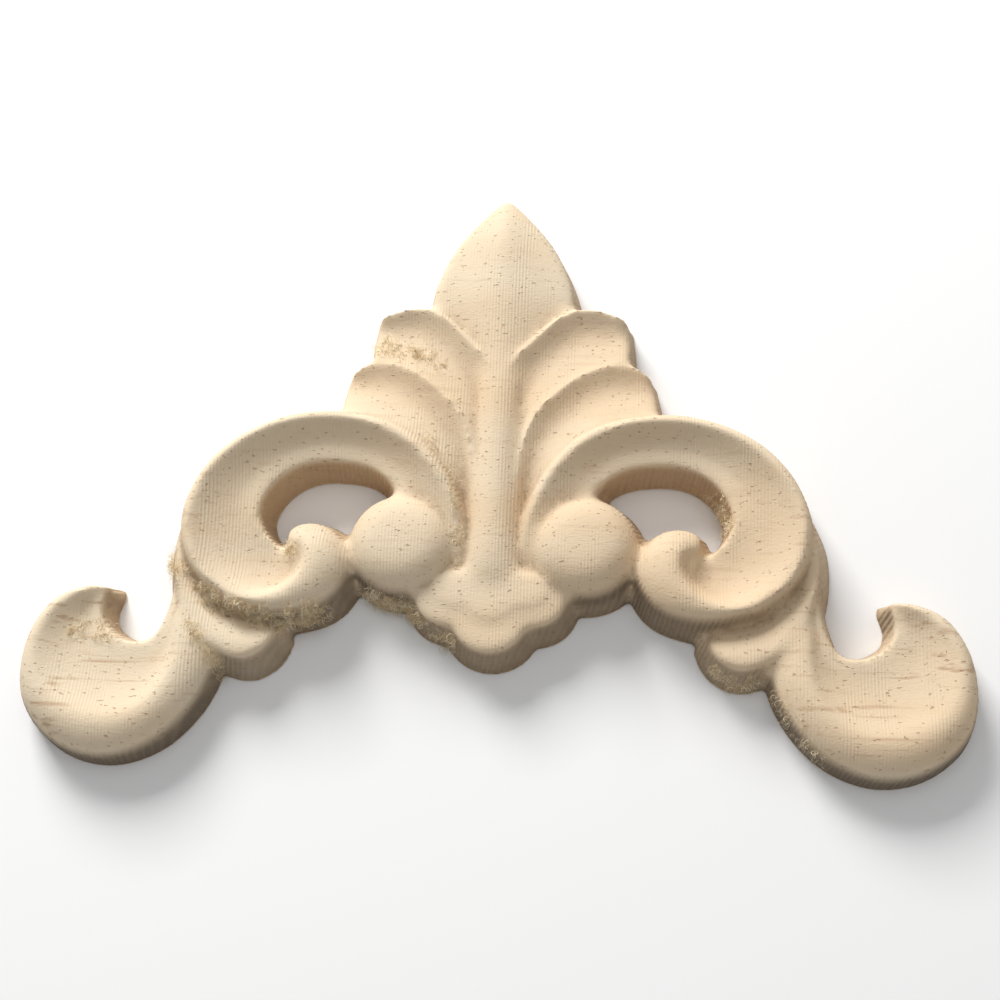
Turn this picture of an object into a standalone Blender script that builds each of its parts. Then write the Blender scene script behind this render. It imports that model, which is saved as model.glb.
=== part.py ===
"""Carved corner onlay, one solid: flat back on z = 0, carved face up, apex leaf towards +Y.

Every plan size is in millimetres on the drawing. The drawing is scaled so that each leg is LEG.
The right half is drawn. Forms off the middle line are mirrored for the left half.
Each form is a closed slab from BED up to its carved top, and one Boolean union joins them all.
"""

import math

import bmesh
import bpy
import numpy as np

# Overall sizes
LEG = 80.0  # length of each leg along its 45 degree direction
DRAWN_LEG = 82.69  # the same length on the drawing
DRAWN_MIDDLE = 2.47  # y on the drawing that becomes the origin's y, midway between tip and curls
UNIT = 0.001 * LEG / DRAWN_LEG
BED = -2.0  # every form starts below the back, and is trimmed to z = 0
BED_STEP = 0.07  # each form starts this much lower than the last, so that no two beds touch

# Wall slopes, as run over rise
DRAFT = 0.17
HOLE_DRAFT = 0.13
LOW_DRAFT = 0.27  # walls along the lower edge
SCROLL_LOW_DRAFT = 0.36
CRESCENT_DRAFT = 0.32
STEP_DRAFT = 0.6  # the soft step inside the lip

# Middle leaf and stem: y, half width, edge height, ridge height, and 0 for a keel to 1 for a rib
MIDDLE = (
    (36.2, 0.15, 5.3, 5.4, 0.0), (34.8, 1.7, 5.4, 5.9, 0.0), (32.7, 3.6, 5.5, 6.6, 0.0),
    (30.0, 5.6, 5.6, 7.0, 0.0), (26.5, 7.3, 5.7, 7.1, 0.0), (23.0, 8.2, 5.6, 7.1, 0.0),
    (20.0, 7.2, 5.4, 6.9, 0.0), (17.0, 5.0, 5.4, 6.75, 0.1), (14.5, 3.2, 5.6, 6.7, 0.4),
    (12.0, 2.4, 5.8, 6.95, 0.8), (9.0, 2.4, 5.6, 7.0, 1.0), (5.0, 2.5, 5.3, 7.05, 1.0),
    (1.0, 2.6, 5.0, 7.05, 1.0), (-3.0, 2.75, 4.8, 7.0, 1.0), (-7.5, 3.1, 4.6, 6.8, 1.0),
    (-10.4, 3.6, 4.5, 6.3, 1.0), (-12.2, 3.9, 4.3, 5.5, 1.0),
)
RIDGE_SOFTNESS = 0.03
FLANK_HOLLOW = 1.2

# Side leaves: rim and lower edge from the blunt end to the stem as x, y, height
UPPER_RIM = (
    (14.4, 20.6, 5.9), (12.0, 21.4, 6.2), (9.2, 21.6, 6.5), (6.7, 20.4, 6.8), (4.7, 18.5, 6.95),
    (3.1, 16.8, 7.0), (1.8, 15.3, 7.0), (0.9, 13.4, 6.8),
)
UPPER_LOW = (
    (14.6, 14.7, 5.7), (13.0, 14.2, 5.7), (11.0, 13.7, 5.8), (9.0, 12.6, 5.9), (7.0, 11.0, 6.1),
    (5.1, 8.8, 6.2), (3.8, 6.6, 6.1), (2.6, 4.0, 5.8),
)
LOWER_RIM = (
    (17.3, 13.5, 5.8), (15.2, 14.7, 6.1), (12.0, 14.4, 6.5), (9.0, 13.0, 6.8), (6.4, 10.8, 7.0),
    (4.4, 8.5, 7.0), (3.3, 6.0, 6.8), (2.7, 2.2, 6.3), (2.6, -3.5, 5.6), (2.8, -9.0, 4.6),
)
LOWER_LOW = (
    (18.0, 7.8, 6.1), (15.6, 7.4, 6.4), (13.0, 6.5, 6.7), (10.6, 5.0, 6.9), (8.6, 3.2, 6.8),
    (7.0, 1.2, 6.5), (5.9, -1.2, 6.1), (5.2, -4.0, 5.6), (4.8, -7.0, 5.0), (4.7, -10.5, 4.4),
)
LEAF_HOLLOW = 1.35  # depth of the hollow under each rim
LEAF_BULGE = 0.45  # outward bow of the blunt end

# Scroll: centre, then angle, outer radius, crest radius, inner radius, and the three heights
SCROLL_CENTRE = (19.5, -6.5)
SCROLL = (
    (196.0, 16.1, 15.8, 9.0, 4.6, 4.3, 4.2), (180.0, 16.4, 15.7, 9.5, 6.2, 5.2, 5.0),
    (164.0, 16.2, 15.2, 10.0, 7.4, 5.8, 5.6), (146.0, 15.8, 14.8, 10.0, 8.2, 6.2, 6.0),
    (126.0, 15.4, 14.3, 9.8, 8.6, 6.2, 6.2), (101.0, 14.6, 13.6, 9.1, 8.8, 6.2, 6.3),
    (80.0, 14.5, 13.5, 8.95, 8.8, 6.2, 6.3), (61.0, 14.8, 13.8, 8.8, 8.8, 6.2, 6.3),
    (38.0, 15.4, 14.4, 8.4, 8.8, 6.2, 6.3), (20.0, 15.8, 14.9, 7.8, 8.7, 6.2, 6.2),
    (4.0, 15.9, 14.9, 6.5, 8.5, 5.8, 5.8), (-15.0, 15.0, 14.1, 4.8, 8.1, 5.2, 5.2),
    (-28.0, 13.6, 12.8, 3.9, 7.8, 4.9, 5.0), (-41.0, 12.0, 11.2, 3.9, 7.6, 4.9, 5.0),
    (-53.0, 10.4, 9.5, 3.7, 7.5, 4.9, 5.0),
)
RIM_FALL = 0.95  # how far the rim's outer edge lies under its crest

# Ball: centre, radii, height, power of the fall, height of its shoulder
BALL = ((10.3, -7.0), (6.35, 6.05), 8.1, 3.4, 3.2)

# Crescent leaf under the scroll: rim and groove line from the thin end to the tip
CRESCENT_RIM = (
    (34.9, -3.0, 5.0), (35.8, -6.0, 5.8), (36.0, -9.0, 6.0), (35.6, -12.2, 6.1), (34.5, -15.0, 6.0),
    (32.9, -17.4, 5.9), (31.0, -19.2, 5.8), (29.0, -20.2, 5.6), (27.2, -20.4, 5.4), (25.6, -19.6, 5.2),
)
CRESCENT_GROOVE = (
    (33.6, -3.0, 4.8), (34.2, -6.0, 4.8), (34.2, -8.6, 4.4), (33.4, -11.4, 4.1), (31.8, -13.5, 3.9),
    (29.8, -15.0, 3.9), (27.6, -16.0, 4.0), (25.8, -16.5, 4.2), (24.6, -16.9, 4.4), (24.2, -17.4, 4.6),
)
CRESCENT_SWELL = 0.55

# Whorls: angle, then the radii of the hollow, crest and outline, then their heights
CURL_CENTRE = (40.4, -16.2)  # the middle of the notch
CURL = (
    (-238.0, 7.0, 7.8, 9.8, 4.0, 4.3, 3.6), (-216.0, 5.2, 6.3, 9.2, 4.8, 5.2, 3.8),
    (-194.0, 3.9, 5.6, 9.4, 4.9, 5.7, 3.4), (-172.0, 3.35, 5.4, 9.9, 4.9, 5.9, 3.2),
    (-148.0, 3.1, 6.4, 10.9, 4.8, 6.1, 3.0), (-124.0, 2.9, 8.3, 12.5, 4.6, 6.2, 2.6),
    (-100.0, 2.7, 10.5, 14.6, 4.5, 6.2, 2.4), (-80.0, 2.65, 11.6, 16.0, 4.4, 6.2, 2.4),
    (-60.0, 2.65, 12.4, 16.4, 4.4, 6.2, 2.4), (-40.0, 2.9, 12.6, 15.7, 4.4, 6.2, 2.8),
    (-20.0, 3.4, 11.4, 13.5, 4.4, 6.2, 3.2), (-2.0, 3.9, 9.7, 11.4, 4.5, 6.2, 4.0),
    (12.0, 4.2, 8.2, 9.7, 4.6, 6.1, 4.5), (24.0, 4.4, 6.8, 7.9, 4.8, 5.9, 4.8),
    (34.0, 4.6, 5.8, 6.6, 4.9, 5.6, 4.8), (42.0, 4.8, 5.2, 5.6, 4.9, 5.2, 4.7),
    (47.0, 5.0, 5.05, 5.1, 4.7, 4.8, 4.6),
)
CURL_FLOOR = 0.5  # depth of the bowl below the straight line from notch to crest
CURL_NOTCH_DRAFT = 0.18
NECK_DRAFT = 0.25
NECK_ANGLE = -160.0
CURL_DRAFT = 0.13
VOLUTE_CENTRE = (23.0, -8.9)  # the small pit in the eye of the scroll
VOLUTE = (
    (-38.0, 0.4, 7.9, 8.6, 5.2, 7.6, 6.8), (-52.0, 0.4, 6.6, 7.4, 5.2, 7.6, 6.7),
    (-76.0, 0.4, 4.8, 6.6, 5.2, 7.7, 6.2), (-105.0, 0.4, 3.4, 6.4, 5.4, 7.95, 5.6),
    (-130.0, 0.4, 2.8, 6.8, 5.8, 8.05, 5.0), (-150.0, 0.4, 2.5, 7.0, 6.1, 8.15, 4.6),
    (-173.0, 0.4, 2.3, 7.0, 6.2, 8.15, 4.4), (-195.0, 0.4, 2.2, 6.5, 6.2, 8.0, 4.4),
    (-215.0, 0.4, 2.0, 5.9, 6.2, 7.7, 4.6), (-235.0, 0.4, 1.8, 5.1, 6.1, 7.3, 4.8),
    (-255.0, 0.4, 1.6, 4.2, 6.0, 6.8, 5.0), (-275.0, 0.4, 1.4, 3.3, 5.8, 6.4, 5.2),
)
VOLUTE_FLOOR = 0.3
VOLUTE_DRAFT = 0.22

# Ground between the forms near the middle: y, half width
WEB = ((-11.8, 7.6), (2.0, 6.0), (12.0, 6.6), (20.0, 6.0))
WEB_TOP = 4.2

# Lip: centre and two radii of the middle lobe and of one side lobe, and the raised step inside
LIP_LOBES = ((0.0, -15.1, 4.15, 4.1), (4.6, -13.1, 3.7, 3.1))
LIP_TOP = 5.4
LIP_INNER = ((0.0, -12.9, 2.9, 2.6), (3.5, -12.2, 3.0, 1.9))
LIP_RAISED = 5.8

SHARP = math.radians(42.0)  # edges sharper than this stay crisp in the shading


def smooth(table, at):
    """The rows of a table joined by a smooth curve, read at positions 0 to 1 along its rows."""
    rows = np.array(table, float)
    where = np.clip(at, 0.0, 1.0) * (len(rows) - 1)
    index = np.minimum(where.astype(int), len(rows) - 2)
    part = (where - index)[:, None]
    ends = np.vstack([2 * rows[0] - rows[1], rows, 2 * rows[-1] - rows[-2]])
    a, b, c, d = (ends[index + k] for k in range(4))
    return 0.5 * (2 * b + (c - a) * part + (2 * a - 5 * b + 4 * c - d) * part**2
                  + (3 * b - a - 3 * c + d) * part**3)


def outward(loop):
    """Unit normals of a plan loop, pointing out of it."""
    step = np.roll(loop, -1, axis=0) - np.roll(loop, 1, axis=0)
    area = np.sum(loop[:, 0] * np.roll(loop[:, 1], -1) - loop[:, 1] * np.roll(loop[:, 0], -1))
    normal = np.stack([step[:, 1], -step[:, 0]], axis=1) * (1 if area > 0 else -1)
    return normal / np.maximum(np.linalg.norm(normal, axis=1), 1e-9)[:, None]


def add_mesh(name, points, faces, mirrored):
    """A triangulated mesh object in the forms collection, its faces turned to point out."""
    points = (np.array(points, float) - (0.0, DRAWN_MIDDLE, 0.0)) * UNIT
    if mirrored:
        points[:, 0] *= -1
    mesh = bpy.data.meshes.new(name)
    mesh.from_pydata([tuple(p) for p in points], [], faces)
    work = bmesh.new()
    work.from_mesh(mesh)
    bmesh.ops.triangulate(work, faces=work.faces[:])
    bmesh.ops.recalc_face_normals(work, faces=work.faces[:])
    work.to_mesh(mesh)
    work.free()
    made = bpy.data.objects.new(name, mesh)
    forms.objects.link(made)
    return made


def slab(name, top, draft, mirrored=False):
    """A closed form under a grid of top points, with sloping walls all round."""
    rows, columns = top.shape[:2]
    ring = ([(0, j) for j in range(columns)] + [(i, columns - 1) for i in range(1, rows)]
            + [(rows - 1, j) for j in range(columns - 2, -1, -1)]
            + [(i, 0) for i in range(rows - 2, 0, -1)])
    edge = np.array([top[i, j] for i, j in ring])
    slope = draft(edge) if callable(draft) else draft
    foot = edge.copy()
    foot[:, :2] += outward(edge[:, :2]) * ((edge[:, 2] - BED) * slope)[:, None]
    foot[:, 2] = BED - BED_STEP * len(forms.objects)
    points = list(top.reshape(-1, 3)) + list(foot)
    first = rows * columns
    faces = [(i * columns + j, i * columns + j + 1, (i + 1) * columns + j + 1, (i + 1) * columns + j)
             for i in range(rows - 1) for j in range(columns - 1)]
    flat = [i * columns + j for i, j in ring]
    n = len(ring)
    faces += [(flat[(k + 1) % n], flat[k], first + k, first + (k + 1) % n) for k in range(n)]
    faces.append(tuple(first + k for k in range(n)))
    return add_mesh(name, points, faces, mirrored)


def disc(name, centre, rings, draft, mirrored=False):
    """A closed form under rings of points about a centre point, with sloping walls."""
    n = len(rings[0])
    foot = rings[-1].copy()
    foot[:, :2] += outward(foot[:, :2]) * ((foot[:, 2] - BED) * draft)[:, None]
    foot[:, 2] = BED - BED_STEP * len(forms.objects)
    points = [centre] + [p for ring in list(rings) + [foot] for p in ring]
    faces = [(0, 1 + k, 1 + (k + 1) % n) for k in range(n)]
    for r in range(len(rings)):
        a, b = 1 + r * n, 1 + (r + 1) * n
        faces += [(a + k, b + k, b + (k + 1) % n, a + (k + 1) % n) for k in range(n)]
    faces.append(tuple(1 + len(rings) * n + k for k in reversed(range(n))))
    return add_mesh(name, points, faces, mirrored)


def middle_leaf():
    """The pointed leaf with its soft ridge, turning into the round stem."""
    y, half, edge, ridge, roundness = smooth(MIDDLE, np.linspace(0, 1, 34)).T
    across = np.linspace(-1, 1, 13)
    rise = (1 - np.sqrt(across**2 + RIDGE_SOFTNESS)) / (1 - math.sqrt(RIDGE_SOFTNESS))
    keel = np.clip(rise, 0, 1) ** FLANK_HOLLOW
    rib = (np.sqrt(1 - 0.94 * across**2) - math.sqrt(0.06)) / (1 - math.sqrt(0.06))
    top = np.array([[(h * v, a, e + (r - e) * (k * (1 - t) + q * t))
                     for v, k, q in zip(across, keel, rib)]
                    for a, h, e, r, t in zip(y, half, edge, ridge, roundness)])
    slab("middle_leaf", top, DRAFT)


def side_leaf(name, rim, low, mirrored):
    """A scooped leaf: crisp rim, hollow under it, rising to its lower edge, blunt bowed end."""
    along = np.linspace(0, 1, 16)
    across = np.array([0, 0.05, 0.13, 0.24, 0.38, 0.55, 0.75, 1.0])
    a, b = smooth(rim, along), smooth(low, along)
    hollow = 6.75 * across * (1 - across) ** 2 * LEAF_HOLLOW
    breadth = np.clip(np.linalg.norm((a - b)[:, :2], axis=1) / 6.0, 0.15, 1)
    top = a[:, None] * (1 - across[None, :, None]) + b[:, None] * across[None, :, None]
    top[:, :, 2] -= hollow[None, :] * breadth[:, None]
    bow = LEAF_BULGE * 4 * across * (1 - across)
    top[:, :, 0] += bow[None, :] * np.clip(1 - along * 6, 0, 1)[:, None]
    slab(name, top, DRAFT, mirrored)


def around(centre, angle, rows):
    """A grid of points from rows of radius and height about a centre."""
    turn = np.radians(angle)
    return np.array([[(centre[0] + r * math.cos(t), centre[1] + r * math.sin(t), z) for r, z in row]
                     for t, row in zip(turn, rows)])


def scroll(name, mirrored):
    """The C-scroll band: crest near its outer edge, cove falling to the pierced opening."""
    table = smooth(SCROLL, np.linspace(0, 1, 40))
    rows = []
    for _, ro, rc, ri, zc, zf, zi in table:
        row = [(ro + (rc - ro) * f, zc - RIM_FALL * (1 - f) ** 2) for f in (0.0, 0.3, 0.65)]
        for s in (0.0, 0.12, 0.26, 0.42, 0.6, 0.8, 1.0):
            near, middle, far = (1 - s) ** 2, 2 * s * (1 - s), s * s
            row.append((near * rc + middle * 0.5 * (rc + ri) + far * ri,
                        near * zc + middle * (zf - 0.25 * (zc - zf)) + far * zi))
        rows.append(row)

    def slope(edge):
        """Steep in the opening, more open along the lower edge."""
        r = np.hypot(edge[:, 0] - SCROLL_CENTRE[0], edge[:, 1] - SCROLL_CENTRE[1])
        low = np.where(edge[:, 1] < -12, SCROLL_LOW_DRAFT, DRAFT)
        return np.where(r < 10.5, HOLE_DRAFT, low)

    slab(name, around(SCROLL_CENTRE, table[:, 0], rows), slope, mirrored)


def ball(name, mirrored):
    """A rounded boss standing on steep walls."""
    (x, y), (rx, ry), height, power, shoulder = BALL
    turn = np.linspace(0, 2 * math.pi, 26, endpoint=False)
    rings = []
    for s in (0.4, 0.66, 0.82, 0.92, 0.98, 1.0):
        z = shoulder + (height - shoulder) * (1 - s**power) ** (1 / 1.9)
        rings.append(np.stack([x + rx * s * np.cos(turn), y + ry * s * np.sin(turn),
                               np.full(len(turn), z)], axis=1))
    disc(name, (x, y, height), rings, LOW_DRAFT, mirrored)


def crescent(name, mirrored):
    """The small leaf under the scroll, rising from a groove to its rim."""
    along = np.linspace(0, 1, 18)
    across = np.array([0, 0.12, 0.3, 0.5, 0.75, 1.0])
    a, b = smooth(CRESCENT_RIM, along), smooth(CRESCENT_GROOVE, along)
    top = a[:, None] * (1 - across[None, :, None]) + b[:, None] * across[None, :, None]
    top[:, :, 2] += (CRESCENT_SWELL * np.sin(across * math.pi))[None, :] * np.clip(along * 2, 0, 1)[:, None]
    slab(name, top, CRESCENT_DRAFT, mirrored)


def whorl(name, centre, stations, count, floor, slope, mirrored):
    """A hollow inside a soft crest, with a rounded flank outside it."""
    table = smooth(stations, np.linspace(0, 1, count))
    rows = []
    for _, rn, rc, ro, zn, zc, ze in table:
        row = []
        for s in (0.0, 0.15, 0.35, 0.58, 0.78, 0.92):
            row.append((rn + (rc - rn) * s,
                        zn + (zc - zn) * s**2.2 - floor * math.sin(math.pi * s**0.8)))
        row.append((rc, zc - 0.06))
        for bend in (0.35, 0.65, 0.87, 1.0):
            row.append((rc + (ro - rc) * math.sin(bend * math.pi / 2),
                        ze + (zc - ze) * math.cos(bend * math.pi / 2)))
        rows.append(row)
    slab(name, around(centre, table[:, 0], rows), slope, mirrored)


def curl(name, mirrored):
    """The end curl round its open notch, whose wall leans more along the neck."""
    def slope(edge):
        """Leans by where the edge point lies about the notch."""
        x, y = edge[:, 0] - CURL_CENTRE[0], edge[:, 1] - CURL_CENTRE[1]
        angle = np.degrees(np.arctan2(y, x))
        neck = (angle > 360 + NECK_ANGLE - 80) & (angle < 360 + NECK_ANGLE)
        inside = np.where(neck, NECK_DRAFT, CURL_NOTCH_DRAFT)
        station = smooth(CURL, np.linspace(0, 1, 120))
        turned = np.where(angle > 60, angle - 360, angle)
        middle = np.interp(turned, station[:, 0], station[:, 2])
        return np.where(np.hypot(x, y) < middle, inside, CURL_DRAFT)

    whorl(name, CURL_CENTRE, CURL, 42, CURL_FLOOR, slope, mirrored)


def web():
    """The ground that joins the forms near the middle."""
    top = np.array([[(h * v, a, WEB_TOP) for v in np.linspace(-1, 1, 3)] for a, h in WEB])
    slab("web", top, DRAFT)


def lobed(name, lobes, height, draft):
    """A flat-topped form with one middle lobe and a pair of side lobes, closed at the back."""
    for k, (x, y, wide, deep) in enumerate(lobes):
        for side in ((1,) if x == 0 else (1, -1)):
            turn = np.linspace(0, 2 * math.pi, 28, endpoint=False)
            edge = np.stack([side * x + wide * np.cos(turn), y + deep * np.sin(turn),
                             np.full(len(turn), height - 0.01 * k)], axis=1)
            disc(f"{name}_{k}_{side}", (side * x, y, height - 0.01 * k), [edge], draft)


def ground_cutter():
    """Everything under the back face."""
    half, low = 90.0, 4 * BED
    points = [(x, y, z) for z in (low, 0.0) for y in (-half, half) for x in (-half, half)]
    faces = [(0, 2, 3, 1), (4, 5, 7, 6), (0, 1, 5, 4), (2, 6, 7, 3), (0, 4, 6, 2), (1, 3, 7, 5)]
    made = add_mesh("ground", points, faces, False)
    forms.objects.unlink(made)
    cutters.objects.link(made)


def bare_wood():
    """Pale unfinished rubberwood."""
    material = bpy.data.materials.new("bare_wood")
    material.use_nodes = True
    shader = material.node_tree.nodes["Principled BSDF"]
    shader.inputs["Base Color"].default_value = (0.72, 0.57, 0.39, 1.0)
    shader.inputs["Roughness"].default_value = 0.75
    return material


def collection(name, parent):
    made = bpy.data.collections.new(name)
    parent.children.link(made)
    return made


def boolean(target, name, group, operation):
    cut = target.modifiers.new(name, "BOOLEAN")
    cut.operand_type = "COLLECTION"
    cut.collection = group
    cut.operation = operation
    cut.solver = "EXACT"
    cut.use_self = True


for old in list(bpy.data.objects):
    bpy.data.objects.remove(old, do_unlink=True)
onlay = collection("corner_onlay", bpy.context.scene.collection)
forms = collection("forms", bpy.context.scene.collection)
cutters = collection("cutters", bpy.context.scene.collection)

middle_leaf()
web()
lobed("lip", LIP_LOBES, LIP_TOP, LOW_DRAFT)
lobed("lip_inner", LIP_INNER, LIP_RAISED, STEP_DRAFT)
for flip in (False, True):
    mark = "left" if flip else "right"
    side_leaf(f"upper_leaf_{mark}", UPPER_RIM, UPPER_LOW, flip)
    side_leaf(f"lower_leaf_{mark}", LOWER_RIM, LOWER_LOW, flip)
    scroll(f"scroll_{mark}", flip)
    ball(f"ball_{mark}", flip)
    crescent(f"crescent_{mark}", flip)
    curl(f"curl_{mark}", flip)
    whorl(f"volute_{mark}", VOLUTE_CENTRE, VOLUTE, 26, VOLUTE_FLOOR, VOLUTE_DRAFT, flip)
ground_cutter()

body = forms.objects["middle_leaf"]
forms.objects.unlink(body)
onlay.objects.link(body)
body.name = "corner_onlay"
body.data.materials.append(bare_wood())
boolean(body, "join forms", forms, "UNION")
boolean(body, "flat back", cutters, "DIFFERENCE")
for group in (forms, cutters):
    group.hide_render = True
    for helper in group.objects:
        helper.hide_render = True
        helper.display_type = "WIRE"
for made in (body, *forms.objects):
    made.data.polygons.foreach_set("use_smooth", [True] * len(made.data.polygons))
    made.data.set_sharp_from_angle(angle=SHARP)
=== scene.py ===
"""Looks of the carved corner onlay: fine carved surface, torn fibres, bare rubberwood, studio.

The carving is rebuilt at fine resolution from the same named forms as the solid, merged into one
skin, and takes the place of the solid's node. Plan sizes are in millimetres on the drawing.
"""

from __future__ import annotations

import logging
import math
from dataclasses import dataclass
from enum import Enum

import bmesh
import bpy
import numpy as np
from mathutils import Matrix, Vector

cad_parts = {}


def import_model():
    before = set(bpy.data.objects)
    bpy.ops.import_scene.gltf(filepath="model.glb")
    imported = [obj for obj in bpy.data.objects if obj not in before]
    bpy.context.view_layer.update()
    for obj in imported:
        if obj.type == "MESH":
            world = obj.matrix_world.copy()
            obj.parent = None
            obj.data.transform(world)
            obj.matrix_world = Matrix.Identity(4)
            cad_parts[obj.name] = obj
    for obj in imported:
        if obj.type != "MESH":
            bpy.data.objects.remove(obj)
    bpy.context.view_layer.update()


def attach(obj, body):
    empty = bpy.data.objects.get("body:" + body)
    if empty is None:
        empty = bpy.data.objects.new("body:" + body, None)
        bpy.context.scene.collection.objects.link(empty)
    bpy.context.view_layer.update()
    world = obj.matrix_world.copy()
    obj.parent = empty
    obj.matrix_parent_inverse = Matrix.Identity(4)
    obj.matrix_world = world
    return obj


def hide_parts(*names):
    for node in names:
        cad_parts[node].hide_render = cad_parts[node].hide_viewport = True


logger = logging.getLogger("corner_onlay")

Row = tuple[float, ...]
Table = tuple[Row, ...]
Colour = tuple[float, float, float, float]
Lobe = tuple[float, float, float, float]


class Side(Enum):
    """Which half of the symmetric carving a form stands on."""

    RIGHT = 1
    LEFT = -1


@dataclass(frozen=True)
class Drawing:
    """Scale of the drawing and the shared wall slopes."""

    leg: float = 80.0
    drawn_leg: float = 82.69
    middle_y: float = 2.47
    bed: float = -1.5
    draft: float = 0.17
    hole_draft: float = 0.13
    low_draft: float = 0.27
    fineness: float = 0.29

    @property
    def unit(self) -> float:
        """Metres for one millimetre of the drawing."""
        return 0.001 * self.leg / self.drawn_leg

    def place(self, points: np.ndarray) -> np.ndarray:
        """Turns drawing points into metres about the part's origin.

        Args:
            points: Points on the drawing, one row each.

        Returns:
            The same points in metres.
        """
        return (points - np.array((0.0, self.middle_y, 0.0))) * self.unit


DRAWING = Drawing()


def smooth(table: Table, at: np.ndarray) -> np.ndarray:
    """Joins the rows of a table by a smooth curve.

    Args:
        table: Rows of numbers.
        at: Positions from 0 to 1 along the rows.

    Returns:
        One row of numbers for each position.
    """
    rows = np.array(table, float)
    where = np.clip(at, 0.0, 1.0) * (len(rows) - 1)
    index = np.minimum(where.astype(int), len(rows) - 2)
    part = (where - index)[:, None]
    ends = np.vstack([2 * rows[0] - rows[1], rows, 2 * rows[-1] - rows[-2]])
    a, b, c, d = (ends[index + k] for k in range(4))
    return 0.5 * (2 * b + (c - a) * part + (2 * a - 5 * b + 4 * c - d) * part**2
                  + (3 * b - a - 3 * c + d) * part**3)


def outward(loop: np.ndarray) -> np.ndarray:
    """Finds the plan normals of a loop.

    Args:
        loop: Plan points in order round the loop.

    Returns:
        Unit normals that point out of the loop.
    """
    step = np.roll(loop, -1, axis=0) - np.roll(loop, 1, axis=0)
    turned = loop[:, 0] * np.roll(loop[:, 1], -1) - loop[:, 1] * np.roll(loop[:, 0], -1)
    normal = np.stack([step[:, 1], -step[:, 0]], axis=1) * (1 if turned.sum() > 0 else -1)
    return normal / np.maximum(np.linalg.norm(normal, axis=1), 1e-9)[:, None]


def around(centre: tuple[float, float], angles: np.ndarray, radii: list[np.ndarray],
           heights: list[np.ndarray]) -> np.ndarray:
    """Lays a grid of points about a centre.

    Args:
        centre: Plan point that the radii start from.
        angles: Angle of each row in degrees.
        radii: One array for each column, with a radius for each row.
        heights: The heights in the same layout.

    Returns:
        The grid, rows by columns by three.
    """
    r, z = np.stack(radii, axis=1), np.stack(heights, axis=1)
    turn = np.radians(angles)[:, None]
    return np.stack([centre[0] + r * np.cos(turn), centre[1] + r * np.sin(turn), z], axis=2)


def between(first: np.ndarray, second: np.ndarray, across: np.ndarray) -> np.ndarray:
    """Lays a grid of points straight across from one line to another.

    Args:
        first: Points of the first line.
        second: Points of the second line.
        across: Positions from 0 on the first line to 1 on the second.

    Returns:
        The grid, rows by columns by three.
    """
    share = across[None, :, None]
    return first[:, None] * (1 - share) + second[:, None] * share


@dataclass
class Shell:
    """A closed form as points and faces."""

    points: np.ndarray
    faces: list[tuple[int, ...]]

    def mirrored(self, side: Side) -> Shell:
        """Gives the form for one half of the carving."""
        return Shell(self.points * np.array((float(side.value), 1.0, 1.0)), self.faces)

    def pair(self) -> list[Shell]:
        """Gives the form on both halves of the carving."""
        return [self.mirrored(side) for side in Side]


def slab(top: np.ndarray, slope: np.ndarray | float) -> Shell:
    """Closes a grid of top points down to the bed with sloping walls.

    Args:
        top: Grid of points, rows by columns by three.
        slope: Run over rise of the walls, one number or one for each edge point.

    Returns:
        The closed form.
    """
    rows, columns = top.shape[:2]
    ring = ring_of(rows, columns)
    edge = np.array([top[i, j] for i, j in ring])
    foot = edge.copy()
    foot[:, :2] += outward(edge[:, :2]) * ((edge[:, 2] - DRAWING.bed) * slope)[:, None]
    foot[:, 2] = DRAWING.bed
    first = rows * columns
    faces = [(i * columns + j, i * columns + j + 1, (i + 1) * columns + j + 1,
              (i + 1) * columns + j) for i in range(rows - 1) for j in range(columns - 1)]
    flat = [i * columns + j for i, j in ring]
    n = len(ring)
    faces += [(flat[(k + 1) % n], flat[k], first + k, first + (k + 1) % n) for k in range(n)]
    faces.append(tuple(first + k for k in range(n)))
    return Shell(np.vstack([top.reshape(-1, 3), foot]), faces)


def ring_of(rows: int, columns: int) -> list[tuple[int, int]]:
    """Lists the border cells of a grid in order round it."""
    return ([(0, j) for j in range(columns)] + [(i, columns - 1) for i in range(1, rows)]
            + [(rows - 1, j) for j in range(columns - 2, -1, -1)]
            + [(i, 0) for i in range(rows - 2, 0, -1)])


def disc(centre: tuple[float, float, float], rings: list[np.ndarray], slope: float) -> Shell:
    """Closes rings of points about a centre down to the bed.

    Args:
        centre: The middle point of the top.
        rings: Loops of points from the smallest to the edge.
        slope: Run over rise of the walls.

    Returns:
        The closed form.
    """
    n = len(rings[0])
    foot = rings[-1].copy()
    foot[:, :2] += outward(foot[:, :2]) * ((foot[:, 2] - DRAWING.bed) * slope)[:, None]
    foot[:, 2] = DRAWING.bed
    faces: list[tuple[int, ...]] = [(0, 1 + k, 1 + (k + 1) % n) for k in range(n)]
    for r in range(len(rings)):
        a, b = 1 + r * n, 1 + (r + 1) * n
        faces += [(a + k, b + k, b + (k + 1) % n, a + (k + 1) % n) for k in range(n)]
    faces.append(tuple(1 + len(rings) * n + k for k in reversed(range(n))))
    return Shell(np.vstack([np.array([centre]), *rings, foot]), faces)


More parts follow.
